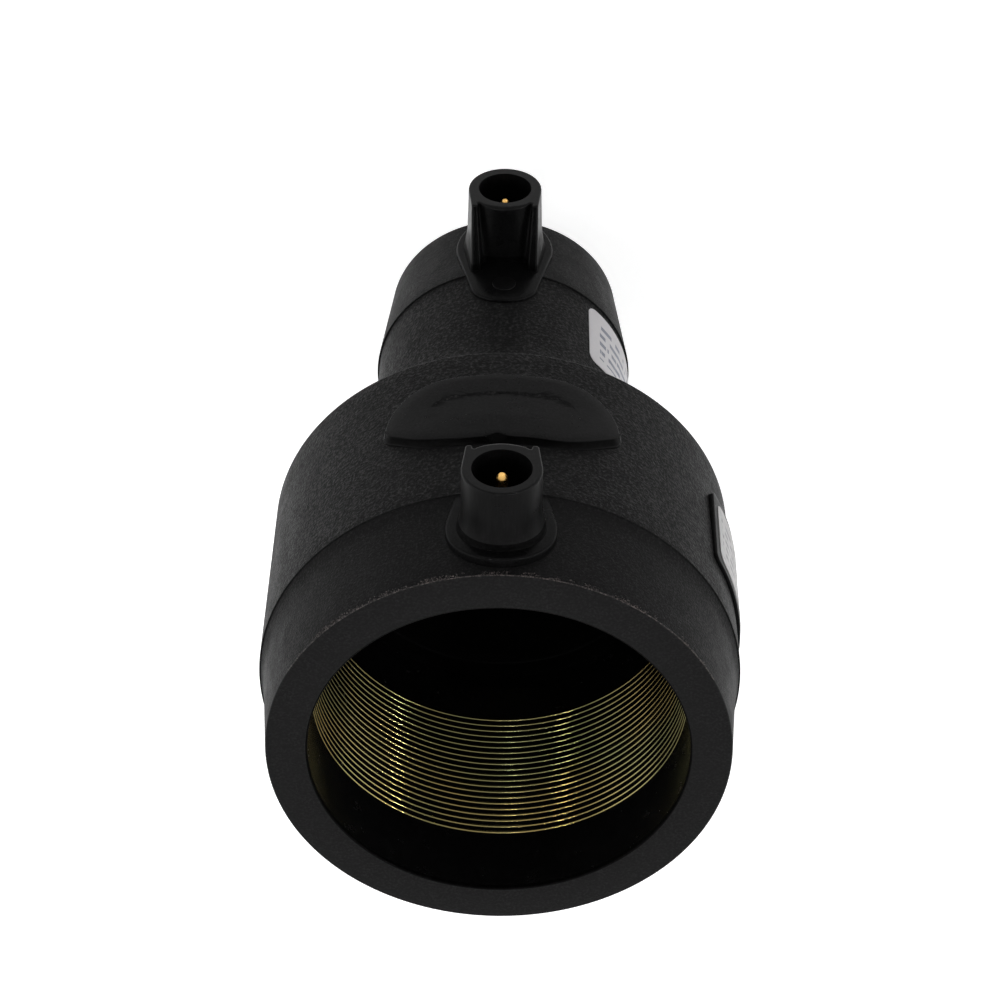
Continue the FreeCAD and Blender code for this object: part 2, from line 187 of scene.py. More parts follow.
def plasticMaterial(name, finish):
    material, tree, shader = newMaterial(name)
    place, number = objectPlace(tree), partial(calculated, tree)
    finish = {**plainFinish, **finish}
    grainScale, grainDepth = finish["grain"]
    cellScale, cellDepth = finish["cells"]
    along = made(tree, "ShaderNodeMapping", {"Vector": place, "Scale": finish["stretch"]})
    fine = noisePattern(tree, along, grainScale, 2.5, 0.6)
    cells = made(tree, "ShaderNodeTexVoronoi", {
        "Vector": along, "Scale": cellScale, "Smoothness": 0.6,
    }, feature="SMOOTH_F1")
    broad = noisePattern(tree, place, sharedPatterns["broadScale"], 2.0)
    patches = noisePattern(tree, place, sharedPatterns["patchScale"], 4.0, 0.65)
    specks = noisePattern(tree, place, sharedPatterns["speckScale"], 2.0)
    # The colour is lighter on the grain's crests, in patches and in specks: partly wear, partly
    # painted sparkle, with painted shade in the grain's hollows.
    sparkle = ramped(tree, fine, *finish["sparkle"])
    lift = number("MULTIPLY", sparkle, ramped(tree, patches, *sharedPatterns["patchWearAndGlint"]))
    dots = number("MULTIPLY", ramped(tree, specks, *sharedPatterns["specks"]), sharedPatterns["speckWearAndGlint"])
    wearAndGlint = number("MAXIMUM", lift, dots)
    normal = bumped(tree, broad, finish["waviness"])
    normal = bumped(tree, cells, cellDepth, normal)
    fill(tree, shader, {
        "Base Color": blended(tree, wearAndGlint, finish["colour"], finish["wornAndGlint"]),
        "Roughness": ramped(tree, patches, *sharedPatterns["patchGloss"], *finish["roughness"]),
        "Specular IOR Level": ramped(tree, fine, *sharedPatterns["crests"], *finish["specular"]),
        "Normal": bumped(tree, fine, grainDepth, normal),
    })
    return material


plastics = [plasticMaterial(name, finish) for name, finish in plasticFinishes.items()]

metalFinishes = {
    # The heating wire's colours are darkened to paint the shade inside the bores.
    "heatingWire": {
        "colour": (0.215, 0.165, 0.064, 1), "tint": (0.14, 0.143, 0.066, 1), "tintScale": 55,
        "roughness": (0.10, 0.20), "grain": (5000, 0.003 * mm),
    },
    "pinMetal": {
        "colour": (0.82, 0.50, 0.155, 1), "tint": (0.58, 0.33, 0.10, 1), "tintScale": 700,
        "roughness": (0.24, 0.36), "grain": (3000, 0.003 * mm),
    },
}


def metalMaterial(name, finish):
    material, tree, shader = newMaterial(name)
    place = objectPlace(tree)
    grainScale, grainDepth = finish["grain"]
    fine = noisePattern(tree, place, grainScale)
    tint = ramped(tree, noisePattern(tree, place, finish["tintScale"]), *sharedPatterns["tinting"])
    fill(tree, shader, {
        "Base Color": blended(tree, tint, finish["colour"], finish["tint"]), "Metallic": 1.0,
        "Roughness": ramped(tree, fine, *sharedPatterns["polish"], *finish["roughness"]),
        "Normal": bumped(tree, fine, grainDepth),
    })
    return material


metals = {name: metalMaterial(name, finish) for name, finish in metalFinishes.items()}
print("materials ready:", len(plastics) + len(metals))


# Mesh tools. Corners of a profile are (radius, height, rounding, finish of the run after it).
sharpAngle = math.radians(32)
quarterTurn = [math.pi / 2 * step / 4 for step in range(5)]
fillShares = (0.85, 0.65, 0.45, 0.25, 0.1)


def between(first, second, share):
    return first + (second - first) * share


def roundedCorner(before, corner, after, rounding, step=math.radians(15), count=None):
    towardBefore = (before - corner).normalized()
    towardAfter = (after - corner).normalized()
    opening = towardBefore.angle(towardAfter)
    nearlyStraight = opening > math.pi - 1e-4
    if rounding <= 0 or nearlyStraight:
        return [corner]
    tangent = rounding / math.tan(opening / 2)
    middle = (towardBefore + towardAfter).normalized()
    centre = corner + middle * rounding / math.sin(opening / 2)
    start = corner + towardBefore * tangent - centre
    turn = math.pi - opening
    if start.cross(corner + towardAfter * tangent - centre) < 0:
        turn = -turn
    count = count or max(2, math.ceil(abs(turn) / step))
    points = []
    for number in range(count + 1):
        angle = turn * number / count
        cosine, sine = math.cos(angle), math.sin(angle)
        offset = Vector((start.x * cosine - start.y * sine, start.x * sine + start.y * cosine))
        points.append(centre + offset)
    return points


def profileRows(corners, spacing, closed=True):
    points = [Vector(corner[:2]) for corner in corners]
    arcs = []
    for number, (point, corner) in enumerate(zip(points, corners)):
        before, after = points[number - 1], points[(number + 1) % len(points)]
        arcs.append(roundedCorner(before, point, after, corner[2]))
    rows = []
    for number, arc in enumerate(arcs):
        finish = corners[number][3]
        rows += [(point, finish) for point in arc]
        if number == len(arcs) - 1 and not closed:
            break
        start, end = arc[-1], arcs[(number + 1) % len(arcs)][0]
        count = max(1, round((end - start).length / spacing))
        rows += [(start.lerp(end, step / count), finish) for step in range(1, count)]
    return rows


def latheShape(rows, segments, closed=True):
    shape = bmesh.new()
    rings = []
    for point, _ in rows:
        onAxis = point.x < 1e-7
        ring = []
        for number in range(1 if onAxis else segments):
            angle = 2 * math.pi * number / segments
            place = (point.x * math.cos(angle), point.x * math.sin(angle), point.y)
            ring.append(shape.verts.new(place))
        rings.append(ring)
    uppers = rings[1:] + (rings[:1] if closed else [])
    for lower, upper, (_, finish) in zip(rings, uppers, rows):
        for number in range(segments):
            after = (number + 1) % segments
            corners = (
                lower[number % len(lower)], lower[after % len(lower)],
                upper[after % len(upper)], upper[number % len(upper)],
            )
            face = shape.faces.new(list(dict.fromkeys(corners)))
            face.material_index = finishNumber.get(finish, 0)
    return shape


# An outline is a closed list of flat points, the same number for a whole boss.

def evenly(outline, count):
    closed = outline + outline[:1]
    lengths = [(after - before).length for before, after in zip(closed, closed[1:])]
    total, points, side, passed = sum(lengths), [], 0, 0.0
    for number in range(count):
        target = total * number / count
        while passed + lengths[side] < target:
            passed += lengths[side]
            side += 1
        points.append(closed[side].lerp(closed[side + 1], (target - passed) / lengths[side]))
    return points


def inset(outline, distance):
    distances = distance if isinstance(distance, list) else [distance] * len(outline)
    moved = []
    for number, (point, depth) in enumerate(zip(outline, distances)):
        along = (outline[(number + 1) % len(outline)] - outline[number - 1]).normalized()
        moved.append(point + Vector((-along.y, along.x)) * depth)
    return moved


def middleOf(outline):
    return sum(outline, Vector((0, 0))) / len(outline)


def shrunk(outline, share):
    centre = middleOf(outline)
    return [centre.lerp(point, share) for point in outline]


def roundedHalf(corners, count):
    # corners of the +x half from the front, each with its rounding, then mirrored
    right = [(Vector(corner[:2]), corner[2]) for corner in corners]
    left = [(Vector((-point.x, point.y)), rounding) for point, rounding in reversed(right)]
    corners = right + left
    points = [Vector((0, right[0][0].y))]
    for number, (corner, rounding) in enumerate(corners):
        before, after = corners[number - 1][0], corners[(number + 1) % len(corners)][0]
        points += roundedCorner(before, corner, after, rounding, math.radians(4))
    return evenly(points, count)


def teardrop(roundEnd, noseRadius, noseOffset, count):
    lean = math.asin((roundEnd - noseRadius) / noseOffset)
    points = []
    for number in range(count):
        angle = 2 * math.pi * number / count
        onNose = math.sin(angle) > math.sin(lean)
        centre, radius = (noseOffset, noseRadius) if onNose else (0, roundEnd)
        points.append(Vector((radius * math.cos(angle), centre + radius * math.sin(angle))))
    return evenly(points, count)


def bossRings(outline, sink, rounding, draft=0.0):
    rings = [(inset(outline, -draft), -sink), (inset(outline, -draft / 8), -rounding * 1.2)]
    for angle in quarterTurn:
        inward, lift = rounding * (1 - math.cos(angle)), rounding * (math.sin(angle) - 1)
        rings.append((inset(outline, inward), lift))
    return rings


def stackedRings(shape, rings):
    loops = [[shape.verts.new(point) for point in ring] for ring in rings]
    for lower, upper in zip(loops, loops[1:]):
        for number in range(len(lower)):
            after = (number + 1) % len(lower)
            shape.faces.new((lower[number], lower[after], upper[after], upper[number]))
    return loops


def bossShape(rings, place, finish, wallFinish=None, isWall=None):
    # isWall tells from a band's number and a flat point whether the face takes wallFinish
    top, topLevel = rings[-1]
    rings = rings + [(shrunk(top, share), topLevel) for share in fillShares]
    shape = bmesh.new()
    loops = stackedRings(shape, [[place(u, v, level) for u, v in flat] for flat, level in rings])
    for loop, (outline, level) in ((loops[0], rings[0]), (loops[-1], rings[-1])):
        hub = shape.verts.new(place(*middleOf(outline), level))
        for number in range(len(loop)):
            shape.faces.new((loop[number], loop[(number + 1) % len(loop)], hub))
    for number, face in enumerate(shape.faces):
        band, spot = divmod(number, len(loops[0]))
        onWall = isWall is not None and band < len(loops) - 1 and isWall(band, rings[band][0][spot])
        face.material_index = finishNumber.get(wallFinish if onWall else finish, 0)
    return shape


def newObject(name, data):
    thing = bpy.data.objects.new(name, data)
    bpy.context.scene.collection.objects.link(thing)
    return thing


def addObject(name, shape, materials, placement=Matrix()):
    bmesh.ops.transform(shape, matrix=placement, verts=shape.verts)
    bmesh.ops.recalc_face_normals(shape, faces=shape.faces)
    mesh = bpy.data.meshes.new(name)
    shape.to_mesh(mesh)
    shape.free()
    for material in materials:
        mesh.materials.append(material)
    mesh.shade_smooth()
    mesh.set_sharp_from_angle(angle=sharpAngle)
    return newObject(name, mesh)


def modifiedMesh(thing):
    graph = bpy.context.evaluated_depsgraph_get()
    mesh = bpy.data.meshes.new_from_object(thing.evaluated_get(graph), depsgraph=graph)
    thing.modifiers.clear()
    return mesh


# The moulding: one turned wall, closed round both sockets and the neck
moulding = {
    "segments": 384, "rowSpacing": 2.8 * mm,
    "largeFaceRadius": 38.9 * mm, "largeLipRadius": 40.35 * mm, "largeLipLength": 18.6 * mm,
    "beltFrontRadius": 41.08 * mm, "beltRearRadius": 40.45 * mm, "beltLength": 39.0 * mm,
    "largeDepth": 54.5 * mm, "largeStop": 3.2 * mm,
    "smallFaceRadius": 21.75 * mm, "smallLipRadius": 24.05 * mm, "smallLipLength": 20.6 * mm,
    "smallBeltRadius": 23.7 * mm, "smallDepth": 40.0 * mm,
    "neckRadius": 12.6 * mm, "neckLength": 13.5 * mm, "shoulderBlend": 20.0 * mm,
    "faceRounding": 0.35 * mm, "boreRounding": 0.3 * mm, "rearRounding": 0.8 * mm,
    "stepRounding": 0.12 * mm, "cornerRounding": 0.08 * mm, "endRounding": 0.6 * mm,
    "stepRise": 0.26 * mm, "lipFlare": 2.4 * mm, "flareRounding": 8 * mm, "boreEdge": 0.8 * mm,
}


def mouldingCorners(size):
    lip, faceRadius = size["smallLipLength"], size["largeFaceRadius"]
    front, rear, waist = size["beltFrontRadius"], size["beltRearRadius"], size["smallBeltRadius"]
    corner, step, back = size["cornerRounding"], size["stepRounding"], size["rearRounding"]
    stepHeight = mouthHeight - size["largeLipLength"]
    rearHeight = stepHeight - size["beltLength"]
    shoulderHeight = rearHeight - (rear - waist)
    stopHeight = mouthHeight - size["largeDepth"]
    neckTop = size["smallDepth"] + size["neckLength"]
    flareShare = size["lipFlare"] / size["largeLipLength"]
    flareEnd = between(size["largeLipRadius"], faceRadius, flareShare)
    return [
        (smallBore, 0, size["boreRounding"], "faceSatin"),
        (size["smallFaceRadius"], 0, size["endRounding"], "lipGrain"),
        (size["smallLipRadius"], lip, step, "lipGrain"),
        (waist, lip, corner, "beltGrain"),
        (waist, shoulderHeight, size["shoulderBlend"], "beltGrain"),
        (rear, rearHeight, back, "beltGrain"),
        (front, stepHeight, step, "lipGrain"),
        (front - size["stepRise"], stepHeight, corner, "lipGrain"),
        (flareEnd, stepHeight + size["lipFlare"], size["flareRounding"], "lipGrain"),
        (faceRadius, mouthHeight, size["faceRounding"], "faceSatin"),
        # The bore's edge and its deep end take the darker finishes: painted shade.
        (largeBore, mouthHeight, size["boreRounding"], "shadedWall"),
        (largeBore, mouthHeight - size["boreEdge"], 0, "boreGloss"),
        (largeBore, stopHeight, corner, "shadedDeepBore"),
        (largeBore - size["largeStop"], stopHeight, back, "shadedDeepBore"),
        (size["neckRadius"], neckTop, back, "shadedDeepBore"),
        (size["neckRadius"], size["smallDepth"], step, "shadedDeepBore"),
        (smallBore, size["smallDepth"], corner, "boreGloss"),
    ]


wallRows = profileRows(mouldingCorners(moulding), moulding["rowSpacing"])
body = addObject("reducerMoulding", latheShape(wallRows, moulding["segments"]), plastics)
print("wall turned:", len(body.data.polygons), "faces")


# Terminals. Each is made upright, its own axis on +Z and the fitting's middle on its +Y
# side, then turned out to -Y.
terminals = {
    "largeTerminal": {
        "height": largeTerminalHeight, "side": -1, "plateTop": 40.75 * mm,
        "rim": 52.0 * mm, "wallInside": 36.5 * mm, "widening": (0, 0),
    },
    "smallTerminal": {
        "height": smallTerminalHeight, "side": 1, "plateTop": 24.4 * mm,
        "rim": 36.4 * mm, "wallInside": 19.5 * mm, "widening": (0.25 * mm, 0.45 * mm),
    },
}
shroud = {
    "inner": 4.87 * mm, "outer": 6.55 * mm, "waist": 6.65 * mm, "foot": 7.25 * mm,
    "flare": 4.2 * mm, "frontAtRim": 6.85 * mm, "frontAtFoot": 7.05 * mm,
    "rimRounding": 0.36 * mm, "frontRounding": 0.7 * mm,
    "frontHalfWidth": 4.2 * mm, "frontBlend": 2.2 * mm,
    "footFillet": 0.12 * mm, "rows": 12, "footShadeHeight": 0.75 * mm, "rowSink": 1.15, "lastInset": 1.06,
    "backPoints": 56, "facePoints": 12, "wallPoints": 12, "wallStart": 0.7,
}
fin = {
    "faceAtRim": 5.9 * mm, "faceAtFoot": 5.75 * mm,
    "reachAtRim": 6.05 * mm, "reachAtFoot": 9.25 * mm,
    "widthAtRim": 1.1 * mm, "widthAtFoot": 1.85 * mm,
    "outerRounding": 0.6 * mm, "innerRounding": 0.4 * mm,
    "filletAtRim": 0.28 * mm, "filletAtFoot": 1.2 * mm,
    "outerPoints": 7, "tipPoints": 3, "innerPoints": 5, "sidePoints": 5, "filletPoints": 6,
}
cavity = {
    "segments": 128, "rowSpacing": 1.5 * mm, "depth": 12.1 * mm, "draft": 0.08 * mm,
    "rimRounding": 0.2 * mm, "floorRounding": 0.5 * mm, "flare": 0.6 * mm, "clearance": 0.5 * mm,
}
footPlate = {
    "points": 200, "roundEnd": 9.1 * mm, "nose": 6.35 * mm, "noseOffset": 12.7 * mm,
    "rounding": 0.4 * mm, "sink": 3.0 * mm, "draft": 0.12 * mm,
}
indicator = {
    "segments": 64, "rowSpacing": 0.7 * mm, "radius": 2.15 * mm, "offset": 13.9 * mm,
    "height": 0.1 * mm, "rounding": 0.09 * mm, "draft": 0.08 * mm, "sink": 1.5 * mm,
}


def terminalPlacement(terminal):
    side = terminal["side"]
    turn = Matrix(((side, 0, 0), (0, 0, -1), (0, side, 0))).to_4x4()
    return Matrix.Translation((0, 0, terminal["height"])) @ turn


def shroudOutline(terminal, height):
    # from the back round one side to its fin and the front wall between the fins, then mirrored
    rim, plateTop = terminal["rim"], terminal["plateTop"]
    share = min(1.0, (rim - height) / (rim - plateTop))

    def down(size, name):
        return between(size[name + "AtRim"], size[name + "AtFoot"], share)

    flare = 1 - min(1.0, max(0.0, height - plateTop) / shroud["flare"])
    wider = between(*terminal["widening"], share)
    barrel = between(shroud["outer"], shroud["waist"], share)
    radius = barrel + (shroud["foot"] - shroud["waist"]) * flare ** 2 + wider
    front = down(shroud, "front")
    tip = Vector((down(fin, "face") + wider, down(fin, "reach")))
    innerTip = tip - Vector((down(fin, "width"), 0))

    def onWall(x):
        return Vector((x, math.sqrt(front ** 2 - x ** 2)))

    def line(start, end, count):
        return [start.lerp(end, step / count) for step in range(1, count)]

    backPoints, wallPoints = shroud["backPoints"], shroud["wallPoints"]
    sweep = math.pi / 2 + math.atan2(tip.y, tip.x) - math.acos(radius / tip.length)
    turns = [sweep * step / backPoints for step in range(backPoints + 1)]
    half = [radius * Vector((math.sin(turn), -math.cos(turn))) for turn in turns]
    foot, wall = onWall(innerTip.x), onWall(innerTip.x * shroud["wallStart"])
    outer = roundedCorner(half[-1], tip, innerTip, fin["outerRounding"], count=fin["outerPoints"])
    inner = roundedCorner(tip, innerTip, foot, fin["innerRounding"], count=fin["innerPoints"])
    fillet = roundedCorner(innerTip, foot, wall, down(fin, "fillet"), count=fin["filletPoints"])
    half += line(half[-1], outer[0], shroud["facePoints"]) + outer
    half += line(outer[-1], inner[0], fin["tipPoints"]) + inner
    half += line(inner[-1], fillet[0], fin["sidePoints"]) + fillet
    half += [onWall(fillet[-1].x * (1 - step / wallPoints)) for step in range(1, wallPoints + 1)]
    return half + [Vector((-point.x, point.y)) for point in reversed(half[1:-1])]


def shroudShape(terminal):
    rim, plateTop, fillet = terminal["rim"], terminal["plateTop"], shroud["footFillet"]
    roundings = []
    for point in shroudOutline(terminal, rim):
        onFront = (shroud["frontHalfWidth"] - abs(point.x)) / shroud["frontBlend"]
        onFront = min(1.0, max(0.0, onFront)) if point.y > 0 else 0
        roundings.append(between(shroud["rimRounding"], shroud["frontRounding"], onFront))
    rings = []

    def addRing(height, inward, lifts):
        share = min(1.0, (rim - height) / (rim - plateTop))
        ring = []
        for (x, y), lift in zip(inset(shroudOutline(terminal, height), inward), lifts):
            drop = plateTop - math.sqrt(plateTop ** 2 - x ** 2)
            ring.append((x, y, height + lift - drop * share ** 3))
        rings.append(ring)

    level = [0.0] * len(roundings)
    addRing(terminal["wallInside"], -fillet, level)
    for angle in quarterTurn:
        height = plateTop + fillet * (1 - math.cos(angle))
        addRing(height, fillet * (math.sin(angle) - 1), level)
    lowest = plateTop + 2 * fillet
    for step in range(shroud["rows"] + 1):
        share = step / shroud["rows"]
        lifts = [-shroud["rowSink"] * rounding * share for rounding in roundings]
        addRing(between(lowest, rim, share), 0, lifts)
    for angle in quarterTurn:
        inward = [rounding * (1 - math.cos(angle)) for rounding in roundings]
        addRing(rim, inward, [rounding * (math.sin(angle) - 1) for rounding in roundings])
    addRing(rim, [shroud["lastInset"] * rounding for rounding in roundings], level)
    shape = bmesh.new()
    loops = stackedRings(shape, rings)
    ends = [shape.faces.new(loop) for loop in (loops[0], loops[-1])]
    shape.normal_update()
    firstInFront = shroud["backPoints"] + shroud["facePoints"] + fin["outerPoints"] // 2 + 1
    for number, face in enumerate(shape.faces):
        inChannel = firstInFront < number % len(level) < len(level) - firstInFront
        isUpright = abs(face.normal.z) < 0.5
        # A band at the foot, where the barrel meets the plate, takes the darker wall finish:
        # painted shade.
        nearFoot = face.calc_center_median().z < plateTop + shroud["footShadeHeight"]
        finish = "plateSatin" if inChannel and isUpright else "shroudSatin"
        face.material_index = finishNumber["shadedWall" if nearFoot else finish]
    bmesh.ops.triangulate(shape, faces=ends, ngon_method="EAR_CLIP")
    return shape


def turnedSolid(corners, size, finish=""):
    rows = profileRows([corner + (finish,) for corner in corners], size["rowSpacing"], closed=False)
    return latheShape(rows, size["segments"], closed=False)


def cavityShape(terminal):
    rim, inner = terminal["rim"], shroud["inner"]
    floor, above = rim - cavity["depth"], rim + cavity["clearance"]
    return turnedSolid([
        (0, floor, 0), (inner - cavity["draft"], floor, cavity["floorRounding"]),
        (inner, rim, cavity["rimRounding"]), (inner + cavity["flare"], above, 0), (0, above, 0),
    ], cavity, "shroudSatin")


def indicatorShape(terminal):
    radius, top = indicator["radius"], terminal["plateTop"] + indicator["height"]
    bottom = top - indicator["sink"]
    shape = turnedSolid([
        (0, bottom, 0), (radius + indicator["draft"], bottom, 0),
        (radius, top, indicator["rounding"]), (0, top, 0),
    ], indicator, "shroudSatin")
    bmesh.ops.translate(shape, verts=shape.verts, vec=(0, indicator["offset"], 0))
    return shape


def archedOver(radius):
    def place(u, v, level):
        return (u, v, math.sqrt(radius ** 2 - u ** 2) + level)
    return place


def plateShape(terminal):
    size = footPlate
    outline = teardrop(size["roundEnd"], size["nose"], size["noseOffset"], size["points"])
    rings = bossRings(outline, size["sink"], size["rounding"], size["draft"])
    return bossShape(rings, archedOver(terminal["plateTop"]), "plateSatin")


# Bare oval plate on the large belt. Its front wall is steep and uneven, with a fillet at its
# foot, and its field sinks toward the rear.
ovalPlate = {
    "points": 400, "radius": 42.2 * mm, "front": 31.75 * mm, "rear": 49.0 * mm,
    "halfWidth": 19.7 * mm, "slantStart": 11.8 * mm, "slantEnd": 37.8 * mm,
    "frontRounding": 16 * mm, "sideRounding": 3 * mm, "rearRounding": 10.5 * mm,
    "edge": 0.12 * mm, "sink": 3.0 * mm, "height": 1.34 * mm, "draft": 0.15 * mm,
    "foot": 0.3 * mm, "lap": 0.02 * mm, "wallBands": range(2, 6), "wallReach": 1 * mm,
    "unevenness": 0.4 * mm, "waveScale": 140, "waveSeed": 3.1, "waveReach": 5 * mm,
    "peak": 0.95 * mm, "peakPlace": -0.9 * mm, "peakWidth": 1.5 * mm,
}
plateField = {
    "points": 320, "depth": 0.28 * mm, "front": 35.5 * mm, "rear": 44.3 * mm,
    "halfWidth": 13.7 * mm, "frontRounding": 2.5 * mm, "rearRounding": 4.5 * mm,
    "crown": 0.9 * mm, "crownReach": 1 * mm, "wall": 0.4 * mm, "wallReach": 3 * mm,
    "fade": 37.5 * mm, "rise": 0.012 * mm, "clearance": 1.5 * mm, "wallTop": 0.9,
    "roughness": 0.3 * mm, "roughReach": 4 * mm, "roughScale": 1300, "topSeed": 8.3,
    "floorSeed": 2.9, "swellScale": 260, "swell": 0.6,
}


def ovalPlateShape(size):
    outline = roundedHalf([
        (size["slantStart"], size["front"], size["frontRounding"]),
        (size["halfWidth"], size["slantEnd"], size["sideRounding"]),
        (size["halfWidth"], size["rear"], size["rearRounding"]),
    ], size["points"])
    topEdge = []
    for point in outline:
        nearFront = max(0.0, 1 - (point.y - size["front"]) / size["waveReach"])
        spot = Vector((point.x * size["waveScale"], size["waveSeed"], 0))
        wave = (0.5 + noise.noise(spot)) * size["unevenness"]
        fromPeak = (point.x - size["peakPlace"]) / size["peakWidth"]
        peak = size["peak"] * math.exp(-fromPeak ** 2)
        topEdge.append(point + Vector((0, nearFront * (wave + peak))))
    foot, height, draft = size["foot"], size["height"], size["draft"]
    widest = inset(outline, -(draft + foot))
    rings = [
        (widest, -size["sink"]), (widest, -height - size["lap"]),
        (inset(outline, -draft - 0.3 * foot), 0.25 * foot - height),
        (inset(outline, -draft), foot - height),
    ]
    rings += bossRings(topEdge, size["sink"], size["edge"])[1:]

    # The front wall takes the darker wall finish: painted shade.
    def isFrontWall(band, point):
        return band in size["wallBands"] and point.y < size["slantEnd"] + size["wallReach"]

    return bossShape(rings, archedOver(size["radius"]), "plateSatin", "shadedWall", isFrontWall)


def plateFieldShape(size, arch):
    front, rear, halfWidth = size["front"], size["rear"], size["halfWidth"]
    outline = roundedHalf([
        (halfWidth, front, size["frontRounding"]), (halfWidth, rear, size["rearRounding"]),
    ], size["points"])
    for point in outline:
        if point.y > front + size["crownReach"]:
            point.y -= size["crown"] * (point.x / halfWidth) ** 2

    def roughened(outline, seed):
        moved = []
        for point in outline:
            nearRear = min(1.0, max(0.0, (point.y - front) / size["roughReach"]))
            x, y = point * size["roughScale"]
            rough = noise.noise(Vector((x, seed, y)))
            swell = Vector((point.x * size["swellScale"], seed, 0))
            rough += size["swell"] * noise.noise(swell)
            moved.append(point + Vector((0, nearRear * rough * size["roughness"])))
        return moved

    def place(u, v, level):
        fall = size["depth"] * (v - size["fade"]) / (rear - size["fade"])
        return arch(u, v, level - (fall * (1 - (u / halfWidth) ** 4) - size["rise"]))

    def isRearWall(band, point):
        return band == 1 and point.y > rear - size["wallReach"]

    top = roughened(outline, size["topSeed"])
    floor = roughened(inset(outline, size["wall"]), size["floorSeed"])
    rings = [(top, size["clearance"]), (top, size["wallTop"] * size["depth"]), (floor, 0)]
    return bossShape(rings, place, "plateSatin", "beltGrain", isRearWall)


# Raised seat of the large label, on the flank. Angles are in degrees from -Y toward -X.
labelSeat = {
    "points": 240, "radius": 41.55 * mm, "setback": 28.4 * mm, "length": 18.2 * mm,
    "start": 62, "sweep": 62, "corner": 1.2 * mm, "edge": 0.25 * mm, "sink": 2.2 * mm,
    "draft": 0.05 * mm,
}


def roundThePipe(size):
    # u runs along the curve, v up the axis
    radius = size["radius"]

    def place(u, v, level):
        angle = math.radians(size["start"]) + u / radius
        return (-(radius + level) * math.sin(angle), -(radius + level) * math.cos(angle), v)
    return place


def curvedWidth(size):
    return math.radians(size["sweep"]) * size["radius"]


def patchOutline(size, low, count):
    half, high, corner = curvedWidth(size) / 2, low + size["length"], size["corner"]
    outline = roundedHalf([(half, low, corner), (half, high, corner)], count)
    return [point + Vector((half, 0)) for point in outline]


def labelSeatShape(size):
    low = mouthHeight - size["setback"] - size["length"]
    outline = patchOutline(size, low, size["points"])
    rings = bossRings(outline, size["sink"], size["edge"], size["draft"])
    return bossShape(rings, roundThePipe(size), "plateSatin")


terminalShapes = {
    "Plate": plateShape, "Shroud": shroudShape, "Indicator": indicatorShape, "Cavity": cavityShape,
}
additions, removals = [], []
for name, terminal in terminals.items():
    placement = terminalPlacement(terminal)
    for part, shapeOf in terminalShapes.items():
        parts = removals if part == "Cavity" else additions
        parts.append(addObject(name + part, shapeOf(terminal), plastics, placement))
platePlacement = terminalPlacement({"height": mouthHeight, "side": -1})
field = plateFieldShape(plateField, archedOver(ovalPlate["radius"]))
additions.append(addObject("ovalPlate", ovalPlateShape(ovalPlate), plastics, platePlacement))
additions.append(addObject("labelSeat", labelSeatShape(labelSeat), plastics))
removals.append(addObject("plateField", field, plastics, platePlacement))

for operation, parts in (("UNION", additions), ("DIFFERENCE", removals)):
    for part in parts:
        joint = body.modifiers.new(part.name, "BOOLEAN")
        joint.operation, joint.solver, joint.object = operation, "MANIFOLD", part
body.data = modifiedMesh(body)
for part in additions + removals:
    bpy.data.objects.remove(part)
body.data.set_sharp_from_angle(angle=sharpAngle)
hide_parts("body")
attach(body, "root")
print("moulding joined:", len(body.data.polygons), "faces")


# Geometry Nodes. A tree's inputs are made from the values that it is run with.
socketKinds = {
    float: "NodeSocketFloat", int: "NodeSocketInt", bpy.types.Material: "NodeSocketMaterial",
}


def newTree(name, source, values, result):
    tree = bpy.data.node_groups.new(name, "GeometryNodeTree")
    sockets = [(source, "INPUT", "NodeSocketGeometry")]
    sockets += [(label, "INPUT", socketKinds[type(value)]) for label, value in values.items()]
    sockets.append((result, "OUTPUT", "NodeSocketGeometry"))
    for label, way, kind in sockets:
        tree.interface.new_socket(label, in_out=way, socket_type=kind)
    return tree, treeNode(tree, "NodeGroupInput").outputs


def joined(tree, *parts):
    node = treeNode(tree, "GeometryNodeJoinGeometry")
    for part in parts:
        tree.links.new(part, node.inputs[0])
    return node.outputs[0]


def swept(tree, curve, sides, radius):
    circle = {"Resolution": sides, "Radius": radius}
    section = made(tree, "GeometryNodeCurvePrimitiveCircle", circle)
    inputs = {"Curve": curve, "Profile Curve": section, "Fill Caps": True}
    return made(tree, "GeometryNodeCurveToMesh", inputs)


def shifted(tree, geometry, offset):
    return made(tree, "GeometryNodeSetPosition", {"Geometry": geometry, "Offset": offset})


def endTree(tree, geometry, finish):
    real = made(tree, "GeometryNodeRealizeInstances", {"Geometry": geometry})
    finished = made(tree, "GeometryNodeSetMaterial", {"Geometry": real, "Material": finish})
    treeNode(tree, "NodeGroupOutput", {0: finished})
    return tree


def runTree(thing, tree, values):
    modifier = thing.modifiers.new(tree.name, "NODES")
    modifier.node_group = tree
    for socket in tree.interface.items_tree:
        if socket.name in values:
            modifier[socket.identifier] = values[socket.name]
    return modifiedMesh(thing)


# Heating wire: both windings, the link through the wall and the leads to the pins
wire = {
    "radius": 0.31 * mm, "stand": 0.19 * mm, "pitch": 1.4445 * mm, "sides": 10,
    "pointsPerTurn": 120, "unevenness": 0.03 * mm, "wanderScale": 60.0,
    "largeTurns": 21, "largeCold": 13.0 * mm, "smallTurns": 14, "smallCold": 11.0 * mm,
    "linkDepth": 1.4 * mm, "linkRunOut": 1.2 * mm, "linkStopGap": 0.8 * mm,
    "pinClearance": 1.86 * mm, "leadReach": 3.0 * mm, "leadBend": 0.75 * mm,
}


